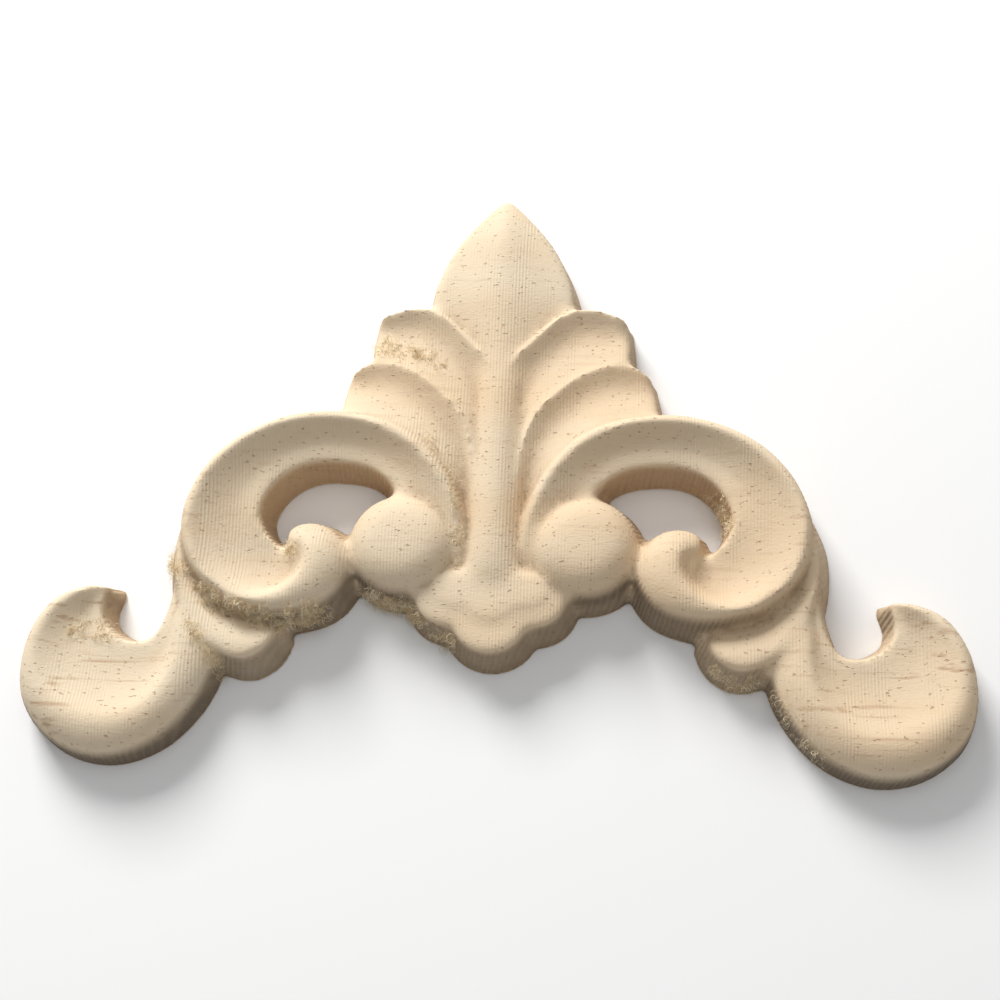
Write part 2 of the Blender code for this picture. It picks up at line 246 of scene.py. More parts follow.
@dataclass(frozen=True)
class MiddleLeaf:
    """The pointed leaf and its stem: y, half width, edge height, ridge height, roundness."""

    stations: Table = (
        (36.2, 0.15, 5.3, 5.4, 0.0), (34.8, 1.7, 5.4, 5.9, 0.0), (32.7, 3.6, 5.5, 6.6, 0.0),
        (30.0, 5.6, 5.6, 7.0, 0.0), (26.5, 7.3, 5.7, 7.1, 0.0), (23.0, 8.2, 5.6, 7.1, 0.0),
        (20.0, 7.2, 5.4, 6.9, 0.0), (17.0, 5.0, 5.4, 6.75, 0.1), (14.5, 3.2, 5.6, 6.7, 0.4),
        (12.0, 2.4, 5.8, 6.95, 0.8), (9.0, 2.4, 5.6, 7.0, 1.0), (5.0, 2.5, 5.3, 7.05, 1.0),
        (1.0, 2.6, 5.0, 7.05, 1.0), (-3.0, 2.75, 4.8, 7.0, 1.0), (-7.5, 3.1, 4.6, 6.8, 1.0),
        (-10.4, 3.6, 4.5, 6.3, 1.0), (-12.2, 3.9, 4.3, 5.5, 1.0),
    )
    softness: float = 0.03
    hollow: float = 1.2
    barrel_end: float = 0.06
    web: Table = ((-11.8, 7.6), (2.0, 6.0), (12.0, 6.6), (20.0, 6.0))
    web_top: float = 4.2

    def shells(self) -> list[Shell]:
        """Builds the leaf, which has a soft ridge and turns into a round stem, and the web."""
        y, half, edge, ridge, roundness = smooth(self.stations, np.linspace(0, 1, 200)).T
        across = np.linspace(-1, 1, 61)
        rise = (1 - np.sqrt(across**2 + self.softness)) / (1 - math.sqrt(self.softness))
        keel = np.clip(rise, 0, 1) ** self.hollow
        end = math.sqrt(self.barrel_end)
        barrel = (np.sqrt(1 - (1 - self.barrel_end) * across**2) - end) / (1 - end)
        shape = keel * (1 - roundness[:, None]) + barrel * roundness[:, None]
        top = np.stack([half[:, None] * across, np.repeat(y[:, None], len(across), axis=1),
                        edge[:, None] + (ridge - edge)[:, None] * shape], axis=2)
        ground = np.array([[(h * v, a, self.web_top) for v in (-1, 0, 1)] for a, h in self.web])
        return [slab(top, DRAWING.draft), slab(ground, DRAWING.draft)]


@dataclass(frozen=True)
class SideLeaf:
    """A scooped leaf between its rim and its lower edge, blunt end first, as x, y, height."""

    rim: Table
    low: Table
    hollow: float = 1.35
    bulge: float = 0.45
    full_breadth: float = 6.0

    def shells(self) -> list[Shell]:
        """Builds the leaf on both sides."""
        along = np.linspace(0, 1, 120)
        across = np.linspace(0, 1, 40) ** 1.3
        a, b = smooth(self.rim, along), smooth(self.low, along)
        sunk = 6.75 * across * (1 - across) ** 2 * self.hollow
        breadth = np.clip(np.linalg.norm((a - b)[:, :2], axis=1) / self.full_breadth,
                          0.15, 1)
        top = between(a, b, across)
        top[:, :, 2] -= sunk[None, :] * breadth[:, None]
        bow = self.bulge * 4 * across * (1 - across)
        top[:, :, 0] += bow[None, :] * np.clip(1 - along * 6, 0, 1)[:, None]
        return slab(top, DRAWING.draft).pair()


UPPER_LEAF = SideLeaf(
    rim=((14.4, 20.6, 5.9), (12.0, 21.4, 6.2), (9.2, 21.6, 6.5), (6.7, 20.4, 6.8),
         (4.7, 18.5, 6.95), (3.1, 16.8, 7.0), (1.8, 15.3, 7.0), (0.9, 13.4, 6.8)),
    low=((14.6, 14.7, 5.7), (13.0, 14.2, 5.7), (11.0, 13.7, 5.8), (9.0, 12.6, 5.9),
         (7.0, 11.0, 6.1), (5.1, 8.8, 6.2), (3.8, 6.6, 6.1), (2.6, 4.0, 5.8)),
)
LOWER_LEAF = SideLeaf(
    rim=((17.3, 13.5, 5.8), (15.2, 14.7, 6.1), (12.0, 14.4, 6.5), (9.0, 13.0, 6.8),
         (6.4, 10.8, 7.0), (4.4, 8.5, 7.0), (3.3, 6.0, 6.8), (2.7, 2.2, 6.3), (2.6, -3.5, 5.6),
         (2.8, -9.0, 4.6)),
    low=((18.0, 7.8, 6.1), (15.6, 7.4, 6.4), (13.0, 6.5, 6.7), (10.6, 5.0, 6.9),
         (8.6, 3.2, 6.8), (7.0, 1.2, 6.5), (5.9, -1.2, 6.1), (5.2, -4.0, 5.6), (4.8, -7.0, 5.0),
         (4.7, -10.5, 4.4)),
)


@dataclass(frozen=True)
class Scroll:
    """The C-scroll band: angle, outer, crest and inner radius, crest, floor and inner height."""

    centre: tuple[float, float] = (19.5, -6.5)
    rim_fall: float = 0.95
    hole_reach: float = 10.5
    low_below: float = -12.0
    low_slope: float = 0.36
    stations: Table = (
        (196.0, 16.1, 15.8, 9.0, 4.6, 4.3, 4.2),
        (180.0, 16.4, 15.7, 9.5, 6.2, 5.2, 5.0),
        (164.0, 16.2, 15.2, 10.0, 7.4, 5.8, 5.6),
        (146.0, 15.8, 14.8, 10.0, 8.2, 6.2, 6.0),
        (126.0, 15.4, 14.3, 9.8, 8.6, 6.2, 6.2),
        (101.0, 14.6, 13.6, 9.1, 8.8, 6.2, 6.3),
        (80.0, 14.5, 13.5, 8.95, 8.8, 6.2, 6.3),
        (61.0, 14.8, 13.8, 8.8, 8.8, 6.2, 6.3),
        (38.0, 15.4, 14.4, 8.4, 8.8, 6.2, 6.3),
        (20.0, 15.8, 14.9, 7.8, 8.7, 6.2, 6.2),
        (4.0, 15.9, 14.9, 6.5, 8.5, 5.8, 5.8),
        (-15.0, 15.0, 14.1, 4.8, 8.1, 5.2, 5.2),
        (-28.0, 13.6, 12.8, 3.9, 7.8, 4.9, 5.0),
        (-41.0, 12.0, 11.2, 3.9, 7.6, 4.9, 5.0),
        (-53.0, 10.4, 9.5, 3.7, 7.5, 4.9, 5.0),
    )

    def shells(self) -> list[Shell]:
        """Builds the band with its crest near the outer edge and a cove to the opening."""
        table = smooth(self.stations, np.linspace(0, 1, 320))
        angle, outer, crest, inner, z_crest, z_floor, z_inner = table.T
        bends = np.linspace(0, 1, 36)
        mid_r, mid_z = 0.5 * (crest + inner), z_floor - 0.25 * (z_crest - z_floor)
        near, middle, far = (1 - bends) ** 2, 2 * bends * (1 - bends), bends**2
        radii, heights = [], []
        for f in np.linspace(0, 0.88, 7):
            radii.append(outer + (crest - outer) * f)
            heights.append(z_crest - self.rim_fall * (1 - f) ** 2)
        radii += [a * crest + b * mid_r + c * inner for a, b, c in zip(near, middle, far)]
        heights += [a * z_crest + b * mid_z + c * z_inner for a, b, c in zip(near, middle, far)]
        top = around(self.centre, angle, radii, heights)
        return slab(top, self.slope(top)).pair()

    def slope(self, top: np.ndarray) -> np.ndarray:
        """Gives the wall slopes: steep in the opening, more open along the lower edge."""
        edge = np.array([top[i, j] for i, j in ring_of(*top.shape[:2])])
        r = np.hypot(edge[:, 0] - self.centre[0], edge[:, 1] - self.centre[1])
        low = np.where(edge[:, 1] < self.low_below, self.low_slope, DRAWING.draft)
        return np.where(r < self.hole_reach, DRAWING.hole_draft, low)


@dataclass(frozen=True)
class Boss:
    """A rounded boss on steep walls."""

    centre: tuple[float, float]
    radii: tuple[float, float]
    height: float
    power: float
    shoulder: float = 3.2
    roundness: float = 1.9

    def shells(self) -> list[Shell]:
        """Builds the boss on both sides."""
        turn = np.linspace(0, 2 * math.pi, 120, endpoint=False)
        rings = []
        for s in np.sin(np.linspace(0.06, math.pi / 2, 26)):
            fall = (1 - s**self.power) ** (1 / self.roundness)
            z = self.shoulder + (self.height - self.shoulder) * fall
            rings.append(np.stack([self.centre[0] + self.radii[0] * s * np.cos(turn),
                                   self.centre[1] + self.radii[1] * s * np.sin(turn),
                                   np.full(len(turn), z)], axis=1))
        return disc((*self.centre, self.height), rings, DRAWING.low_draft).pair()


@dataclass(frozen=True)
class Crescent:
    """The small leaf under the scroll: rim and groove line from the thin end to the tip."""

    rim: Table = ((34.9, -3.0, 5.0), (35.8, -6.0, 5.8), (36.0, -9.0, 6.0), (35.6, -12.2, 6.1),
                  (34.5, -15.0, 6.0), (32.9, -17.4, 5.9), (31.0, -19.2, 5.8),
                  (29.0, -20.2, 5.6), (27.2, -20.4, 5.4), (25.6, -19.6, 5.2))
    groove: Table = ((33.6, -3.0, 4.8), (34.2, -6.0, 4.8), (34.2, -8.6, 4.4), (33.4, -11.4, 4.1),
                     (31.8, -13.5, 3.9), (29.8, -15.0, 3.9), (27.6, -16.0, 4.0),
                     (25.8, -16.5, 4.2), (24.6, -16.9, 4.4), (24.2, -17.4, 4.6))
    swell: float = 0.55
    slope: float = 0.32

    def shells(self) -> list[Shell]:
        """Builds the leaf on both sides."""
        along, across = np.linspace(0, 1, 120), np.linspace(0, 1, 24)
        a, b = smooth(self.rim, along), smooth(self.groove, along)
        top = between(a, b, across)
        lift = self.swell * np.sin(across * math.pi)
        top[:, :, 2] += lift[None, :] * np.clip(along * 2, 0, 1)[:, None]
        return slab(top, self.slope).pair()


@dataclass(frozen=True)
class Whorl:
    """A hollow inside a rounded crest: angle, three radii from the hollow out, three heights."""

    centre: tuple[float, float]
    stations: Table
    floor: float
    inner_slope: float
    outer_slope: float
    neck_slope: float = 0.25
    neck_angle: float = -160.0

    def shells(self) -> list[Shell]:
        """Builds the whorl: hollow inside a soft crest, rounded flank outside."""
        table = smooth(self.stations, np.linspace(0, 1, 260))
        angle, notch, crest, outline, z_notch, z_crest, z_edge = table.T
        radii, heights = [], []
        for s in np.linspace(0, 0.97, 30):
            radii.append(notch + (crest - notch) * s)
            sag = self.floor * math.sin(math.pi * s**0.8)
            heights.append(z_notch + (z_crest - z_notch) * s**2.2 - sag)
        radii.append(crest)
        heights.append(z_crest - 0.06)
        for bend in np.linspace(0.12, 1, 14) * math.pi / 2:
            radii.append(crest + (outline - crest) * math.sin(bend))
            heights.append(z_edge + (z_crest - z_edge) * math.cos(bend))
        top = around(self.centre, angle, radii, heights)
        slopes = np.array([self.slope(j, top.shape[1], angle[i])
                           for i, j in ring_of(*top.shape[:2])])
        return slab(top, slopes).pair()

    def slope(self, column: int, columns: int, angle: float) -> float:
        """Gives the wall slope at one edge point: the neck's wall leans the most."""
        if column < columns // 2:
            return self.neck_slope if angle < self.neck_angle else self.inner_slope
        return self.outer_slope


END_CURL = Whorl(
    centre=(40.4, -16.2), floor=0.5, inner_slope=0.18, outer_slope=0.13,
    stations=(
        (-238.0, 7.0, 7.8, 9.8, 4.0, 4.3, 3.6),
        (-216.0, 5.2, 6.3, 9.2, 4.8, 5.2, 3.8),
        (-194.0, 3.9, 5.6, 9.4, 4.9, 5.7, 3.4),
        (-172.0, 3.35, 5.4, 9.9, 4.9, 5.9, 3.2),
        (-148.0, 3.1, 6.4, 10.9, 4.8, 6.1, 3.0),
        (-124.0, 2.9, 8.3, 12.5, 4.6, 6.2, 2.6),
        (-100.0, 2.7, 10.5, 14.6, 4.5, 6.2, 2.4),
        (-80.0, 2.65, 11.6, 16.0, 4.4, 6.2, 2.4),
        (-60.0, 2.65, 12.4, 16.4, 4.4, 6.2, 2.4),
        (-40.0, 2.9, 12.6, 15.7, 4.4, 6.2, 2.8),
        (-20.0, 3.4, 11.4, 13.5, 4.4, 6.2, 3.2),
        (-2.0, 3.9, 9.7, 11.4, 4.5, 6.2, 4.0),
        (12.0, 4.2, 8.2, 9.7, 4.6, 6.1, 4.5),
        (24.0, 4.4, 6.8, 7.9, 4.8, 5.9, 4.8),
        (34.0, 4.6, 5.8, 6.6, 4.9, 5.6, 4.8),
        (42.0, 4.8, 5.2, 5.6, 4.9, 5.2, 4.7),
        (47.0, 5.0, 5.05, 5.1, 4.7, 4.8, 4.6),
    ),
)
VOLUTE = Whorl(
    centre=(23.0, -8.9), floor=0.3, inner_slope=0.1, outer_slope=0.22,
    stations=(
        (-38.0, 0.4, 7.9, 8.6, 5.2, 7.6, 6.8),
        (-52.0, 0.4, 6.6, 7.4, 5.2, 7.6, 6.7),
        (-76.0, 0.4, 4.8, 6.6, 5.2, 7.7, 6.2),
        (-105.0, 0.4, 3.4, 6.4, 5.4, 7.95, 5.6),
        (-130.0, 0.4, 2.8, 6.8, 5.8, 8.05, 5.0),
        (-150.0, 0.4, 2.5, 7.0, 6.1, 8.15, 4.6),
        (-173.0, 0.4, 2.3, 7.0, 6.2, 8.15, 4.4),
        (-195.0, 0.4, 2.2, 6.5, 6.2, 8.0, 4.4),
        (-215.0, 0.4, 2.0, 5.9, 6.2, 7.7, 4.6),
        (-235.0, 0.4, 1.8, 5.1, 6.1, 7.3, 4.8),
        (-255.0, 0.4, 1.6, 4.2, 6.0, 6.8, 5.0),
        (-275.0, 0.4, 1.4, 3.3, 5.8, 6.4, 5.2),
    ),
)


@dataclass(frozen=True)
class Lip:
    """The three-lobed lip and its raised inner step: each lobe's centre and two radii."""

    lobes: tuple[Lobe, ...] = ((0.0, -15.1, 4.15, 4.1), (4.6, -13.1, 3.7, 3.1))
    inner: tuple[Lobe, ...] = ((0.0, -12.9, 2.9, 2.6), (3.5, -12.2, 3.0, 1.9))
    top: float = 5.4
    raised: float = 5.8
    step_slope: float = 0.6

    def shells(self) -> list[Shell]:
        """Builds every lobe."""
        found = []
        for lobes, height, slope in ((self.lobes, self.top, DRAWING.low_draft),
                                     (self.inner, self.raised, self.step_slope)):
            for x, y, wide, deep in lobes:
                for side in ((1,) if x == 0 else (1, -1)):
                    found.append(self.lobe((side * x, y, wide, deep), height, slope))
        return found

    def lobe(self, lobe: Lobe, height: float, slope: float) -> Shell:
        """Builds one flat-topped oval lobe."""
        x, y, wide, deep = lobe
        turn = np.linspace(0, 2 * math.pi, 120, endpoint=False)
        edge = np.stack([x + wide * np.cos(turn), y + deep * np.sin(turn),
                         np.full(len(turn), height)], axis=1)
        return disc((x, y, height), [edge], slope)


SPREAD = np.array((73856093, 19349663, 83492791))  # primes that scatter the noise knots


def value_noise(points: np.ndarray, size: float, seed: int) -> np.ndarray:
    """Smooth random values in space.

    Args:
        points: Points to read.
        size: Distance between the random knots.
        seed: Number that fixes the pattern.

    Returns:
        One value from -1 to 1 for each point.
    """
    cell = points / size
    low = np.floor(cell).astype(np.int64)
    part = cell - low
    part = part * part * (3 - 2 * part)
    total = np.zeros(len(points))
    for corner in range(8):
        shift = np.array([(corner >> k) & 1 for k in range(3)])
        knot = low + shift
        mixed = np.bitwise_xor.reduce(knot * SPREAD, axis=1) ^ seed * 2654435
        mixed = (mixed ^ (mixed >> 13)) * 1274126177
        value = ((mixed ^ (mixed >> 16)) & 0xFFFF) / 32767.5 - 1
        weight = np.prod(np.where(shift == 1, part, 1 - part), axis=1)
        total += value * weight
    return total


@dataclass(frozen=True)
class TornPatch:
    """A place where the cutter tore the grain: a path on the drawing and its reach."""

    path: tuple[tuple[float, float], ...]
    reach: float
    strength: float = 1.0
    heights: tuple[float, float] = (0.5, 9.0)

    def mask(self, points: np.ndarray) -> np.ndarray:
        """Tells how torn each point is.

        Args:
            points: Drawing points.

        Returns:
            A value from 0 to 1 for each point.
        """
        nearest = np.full(len(points), np.inf)
        ends = self.path if len(self.path) > 1 else self.path * 2
        for start, end in zip(ends[:-1], ends[1:]):
            away, run = points[:, :2] - np.array(start), np.array(end) - np.array(start)
            t = np.clip((away @ run) / max(run @ run, 1e-9), 0, 1)
            nearest = np.minimum(nearest, np.linalg.norm(away - t[:, None] * run, axis=1))
        near = np.clip(1.4 * (1 - nearest / self.reach), 0, 1)
        z = points[:, 2]
        return near * self.strength * ((z > self.heights[0]) & (z < self.heights[1]))


TORN = (
    TornPatch(((-36.6, -9.4), (-33.9, -12.5), (-30.6, -14.4), (-26.5, -15.8), (-22.5, -16.0),
               (-19.0, -15.2)), 1.5, 1.0, (2.0, 7.2)),
    TornPatch(((-14.6, -12.6), (-10.3, -13.6), (-7.2, -15.0)), 1.3, 0.9, (0.3, 4.5)),
    TornPatch(((-6.5, -17.2), (-4.2, -17.6)), 1.2, 0.8, (0.2, 4.0)),
    TornPatch(((-13.9, 17.3), (-10.7, 16.4), (-7.2, 14.9)), 1.5, 0.7),
    TornPatch(((-8.0, 5.6), (-5.4, 0.6), (-4.0, -4.3), (-4.1, -9.0)), 1.0, 0.35),
    TornPatch(((-48.0, -18.6), (-45.3, -16.7), (-43.6, -18.2)), 1.4, 0.45),
    TornPatch(((-33.6, -17.0), (-31.8, -19.4), (-30.9, -21.2)), 1.2, 0.7, (0.5, 6.0)),
    TornPatch(((-22.9, -8.1),), 1.2, 0.8),
    TornPatch(((24.0, -0.4), (25.4, -2.0), (26.2, -4.2)), 1.1, 1.0, (2.0, 6.3)),
    TornPatch(((25.0, -20.3), (27.5, -21.6), (29.8, -20.8)), 1.2, 0.5, (0.3, 4.0)),
    TornPatch(((32.0, -23.0), (33.6, -26.4), (36.2, -29.2)), 1.6, 0.22, (0.8, 5.0)),
)


def torn_mask(points: np.ndarray) -> np.ndarray:
    """Joins every torn patch into one mask.

    Args:
        points: Drawing points.

    Returns:
        A value from 0 to 1 for each point.
    """
    clump = np.clip(0.55 + 1.5 * value_noise(points, 0.9, 11), 0, 1)
    return clump * np.clip(np.max([patch.mask(points) for patch in TORN], axis=0), 0, 1)


@dataclass(frozen=True)
class FibreGroup:
    """Shader node group that stretches noise along the grain, which runs along X."""

    name: str = "wood_grain"

    def build(self) -> bpy.types.NodeTree:
        """Builds the group: tone, streaks, pores and height out."""
        tree = bpy.data.node_groups.new(self.name, "ShaderNodeTree")
        socket = tree.interface.new_socket
        for name in ("Tone", "Streaks", "Pores", "Height"):
            socket(name, in_out="OUTPUT", socket_type="NodeSocketFloat")
        kit = Nodes(tree)
        coords = kit.add("ShaderNodeTexCoord").outputs["Object"]
        broad = kit.noise(kit.stretch(coords, (16, 95, 60)), 3.0, 0.55)
        tone = kit.ramp(broad, 0.3, 0.72)
        lines = kit.noise(kit.stretch(coords, (70, 1500, 900)), 2.0, 0.5)
        streaks = kit.ramp(lines, 0.56, 0.74)
        holes = kit.noise(kit.stretch(coords, (1700, 3600, 3000)), 1.0, 0.4)
        pores = kit.ramp(holes, 0.69, 0.75)
        fine = kit.noise(kit.stretch(coords, (1500, 5200, 4200)), 2.0, 0.6)
        height = kit.math("SUBTRACT", kit.math("MULTIPLY", fine, 0.8), pores)
        end = kit.add("NodeGroupOutput")
        for name, value in (("Tone", tone), ("Streaks", streaks), ("Pores", pores),
                            ("Height", height)):
            tree.links.new(value, end.inputs[name])
        return tree


@dataclass(frozen=True)
class ToolMarkGroup:
    """Shader node group with the ridges that the cutter leaves."""

    name: str = "tool_marks"
    stepover: float = 0.00036
    chatter: float = 0.0005

    def build(self) -> bpy.types.NodeTree:
        """Builds the group: passes over the top, chatter on the walls."""
        tree = bpy.data.node_groups.new(self.name, "ShaderNodeTree")
        socket = tree.interface.new_socket
        for name in ("Wall", "Crease"):
            socket(name, in_out="INPUT", socket_type="NodeSocketFloat")
        for name in ("Height", "Shade"):
            socket(name, in_out="OUTPUT", socket_type="NodeSocketFloat")
        kit = Nodes(tree)
        start = kit.add("NodeGroupInput")
        wall, crease = start.outputs["Wall"], start.outputs["Crease"]
        coords = kit.add("ShaderNodeTexCoord").outputs["Object"]
        split = kit.add("ShaderNodeSeparateXYZ")
        tree.links.new(coords, split.inputs[0])
        wobble = kit.noise(kit.stretch(coords, (60, 60, 60)), 2.0, 0.5)
        across = kit.math("ADD", kit.math("MULTIPLY", split.outputs["X"], math.tau / self.stepover),
                          kit.math("MULTIPLY", wobble, 3.0))
        passes = kit.math("SINE", across, 0.0)
        uneven = kit.ramp(kit.noise(kit.stretch(coords, (420, 90, 90)), 2.0, 0.5), 0.4, 0.62)
        top = kit.math("MULTIPLY", kit.math("MULTIPLY", passes, uneven),
                       kit.math("SUBTRACT", 1.0, wall))
        plan = kit.math("ADD", kit.math("MULTIPLY", split.outputs["X"], 0.83),
                        kit.math("MULTIPLY", split.outputs["Y"], -0.55))
        ribs = kit.math("SINE", kit.math("MULTIPLY", plan, math.tau / self.chatter), 0.0)
        rough = kit.noise(kit.stretch(coords, (1500, 1500, 260)), 3.0, 0.6)
        side = kit.math("MULTIPLY", wall, kit.math("ADD", kit.math("MULTIPLY", ribs, 0.6), rough))
        cells = kit.add("ShaderNodeTexVoronoi")
        tree.links.new(kit.stretch(coords, (620, 620, 0)), cells.inputs["Vector"])
        rings = kit.math("SINE", kit.math("MULTIPLY", cells.outputs["Distance"], 30.0), 0.0)
        worn = kit.math("MULTIPLY", crease, kit.math("MULTIPLY", rings, 0.9))
        height = kit.math("ADD", kit.math("MULTIPLY", top, 0.24),
                          kit.math("ADD", kit.math("MULTIPLY", side, 1.6), worn))
        end = kit.add("NodeGroupOutput")
        tree.links.new(height, end.inputs["Height"])
        tree.links.new(kit.math("SUBTRACT", kit.math("ADD", rough, kit.math("MULTIPLY", ribs, 0.2)),
                                0.25), end.inputs["Shade"])
        return tree


class Nodes:
    """Short calls for the nodes of one tree."""

    def __init__(self, tree: bpy.types.NodeTree) -> None:
        """Keeps the tree."""
        self.tree = tree

    def add(self, kind: str) -> bpy.types.Node:
        """Adds a node of the named kind."""
        return self.tree.nodes.new(kind)

    def math(self, operation: str, a: object, b: object = 0.0) -> bpy.types.NodeSocket:
        """Adds a Math node on two values or sockets."""
        node = self.add("ShaderNodeMath")
        node.operation = operation
        for index, value in enumerate((a, b)):
            self.feed(value, node.inputs[index])
        return node.outputs[0]

    def feed(self, value: object, into: bpy.types.NodeSocket) -> None:
        """Links a socket, or sets a plain value."""
        if isinstance(value, bpy.types.NodeSocket):
            self.tree.links.new(value, into)
        else:
            into.default_value = value

    def stretch(self, coords: object, scale: tuple[float, float, float]) -> bpy.types.NodeSocket:
        """Scales coordinates by three factors."""
        node = self.add("ShaderNodeMapping")
        self.feed(coords, node.inputs["Vector"])
        node.inputs["Scale"].default_value = scale
        return node.outputs[0]

    def noise(self, coords: object, detail: float, rough: float) -> bpy.types.NodeSocket:
        """Adds a noise texture and gives its factor."""
        node = self.add("ShaderNodeTexNoise")
        self.feed(coords, node.inputs["Vector"])
        node.inputs["Scale"].default_value = 1.0
        node.inputs["Detail"].default_value = detail
        node.inputs["Roughness"].default_value = rough
        return node.outputs[0]

    def ramp(self, value: object, low: float, high: float) -> bpy.types.NodeSocket:
        """Maps a value between two limits to 0 to 1, smoothly."""
        node = self.add("ShaderNodeMapRange")
        node.interpolation_type = "SMOOTHSTEP"
        self.feed(value, node.inputs["Value"])
        node.inputs["From Min"].default_value = low
        node.inputs["From Max"].default_value = high
        return node.outputs[0]

    def mix(self, factor: object, a: object, b: object) -> bpy.types.NodeSocket:
        """Mixes two colours by a factor."""
        node = self.add("ShaderNodeMix")
        node.data_type = "RGBA"
        self.feed(factor, node.inputs["Factor"])
        self.feed(a, node.inputs["A"])
        self.feed(b, node.inputs["B"])
        return node.outputs["Result"]

    def attribute(self, name: str) -> bpy.types.NodeSocket:
        """Reads a value stored on the mesh."""
        node = self.add("ShaderNodeAttribute")
        node.attribute_name = name
        return node.outputs["Fac"]


@dataclass(frozen=True)
class BareWood:
    """Pale unfinished rubberwood, darker where the cutter rubbed and fibres tore; creases, coves
    and low walls get painted shade.
    """

    light: Colour = (0.79, 0.665, 0.49, 1.0)
    warm: Colour = (0.75, 0.575, 0.385, 1.0)
    streak: Colour = (0.42, 0.245, 0.125, 1.0)
    burnish_and_crease_shade: Colour = (0.42, 0.262, 0.135, 1.0)
    burn_and_low_wall_shade: Colour = (0.085, 0.068, 0.05, 1.0)
    shaded: Colour = (0.50, 0.345, 0.215, 1.0)
    torn: Colour = (0.83, 0.68, 0.42, 1.0)
    roughness: float = 0.78
    bump: float = 0.00006

    def build(self, grain: bpy.types.NodeTree, marks: bpy.types.NodeTree) -> bpy.types.Material:
        """Builds the material.

        Args:
            grain: The grain group.
            marks: The tool mark group.

        Returns:
            The finished material.
        """
        material = bpy.data.materials.new("bare_wood_carved")
        material.use_nodes = True
        tree = material.node_tree
        kit = Nodes(tree)
        shader = tree.nodes["Principled BSDF"]
        wood, tool = kit.add("ShaderNodeGroup"), kit.add("ShaderNodeGroup")
        wood.node_tree, tool.node_tree = grain, marks
        wall, crease, cove, low, torn = (
            kit.attribute(n) for n in ("wall", "crease", "cove", "low", "torn"))
        tree.links.new(wall, tool.inputs["Wall"])
        tree.links.new(crease, tool.inputs["Crease"])
        colour = kit.mix(wood.outputs["Tone"], self.light, self.warm)
        split = kit.add("ShaderNodeSeparateXYZ")
        tree.links.new(kit.add("ShaderNodeTexCoord").outputs["Object"], split.inputs[0])
        ends = kit.ramp(kit.math("ABSOLUTE", split.outputs["X"]), 0.028, 0.040)
        shown = kit.math("ADD", 0.16, kit.math("MULTIPLY", ends, 0.42))
        colour = kit.mix(kit.math("MULTIPLY", wood.outputs["Streaks"], shown), colour, self.streak)
        colour = kit.mix(kit.math("MULTIPLY", wood.outputs["Pores"], 0.6), colour, self.streak)
        colour = kit.mix(kit.math("MULTIPLY", cove, 0.75), colour, self.shaded)
        # Burnish tint on the steep walls.
        colour = kit.mix(kit.math("MULTIPLY", wall, 0.5), colour, self.burnish_and_crease_shade)
        streaked = kit.ramp(tool.outputs["Shade"], -0.4, 0.5)
        # Painted shade, partly burnish: low walls facing away from the key light are darkened
        # nearly to black, streaked by the chatter.
        colour = kit.mix(kit.math("MULTIPLY", low, kit.math("ADD", 0.62, kit.math(
            "MULTIPLY", streaked, 0.16))), colour, self.burn_and_low_wall_shade)
        # Painted shade: creases are darkened towards the burnish colour.
        colour = kit.mix(kit.math("MULTIPLY", crease, 0.8), colour, self.burnish_and_crease_shade)
        colour = kit.mix(kit.math("MULTIPLY", torn, 0.5), colour, self.torn)
        tree.links.new(colour, shader.inputs["Base Color"])
        shader.inputs["Roughness"].default_value = self.roughness
        shader.inputs["Specular IOR Level"].default_value = 0.3
        bump = kit.add("ShaderNodeBump")
        bump.inputs["Strength"].default_value = 1.0
        bump.inputs["Distance"].default_value = self.bump
        kit.feed(kit.math("ADD", wood.outputs["Height"], tool.outputs["Height"]),
                 bump.inputs["Height"])
        tree.links.new(bump.outputs["Normal"], shader.inputs["Normal"])
        return material


class Neighbours:
    """Which points of a mesh share an edge."""

    def __init__(self, mesh: bpy.types.Mesh) -> None:
        """Reads the edges once."""
        edges = np.empty(len(mesh.edges) * 2, np.int64)
        mesh.edges.foreach_get("vertices", edges)
        self.a, self.b = edges.reshape(-1, 2).T
        self.size = len(mesh.vertices)
        ends = np.bincount(self.a, minlength=self.size) + np.bincount(self.b, minlength=self.size)
        self.count = np.maximum(ends, 1)

    def mean(self, values: np.ndarray) -> np.ndarray:
        """Averages each point's neighbours.

        Args:
            values: One row for each point.

        Returns:
            The averages, in the same layout.
        """
        return np.stack([(np.bincount(self.a, weights=column[self.b], minlength=self.size)
                          + np.bincount(self.b, weights=column[self.a], minlength=self.size))
                         / self.count for column in values.T], axis=1)


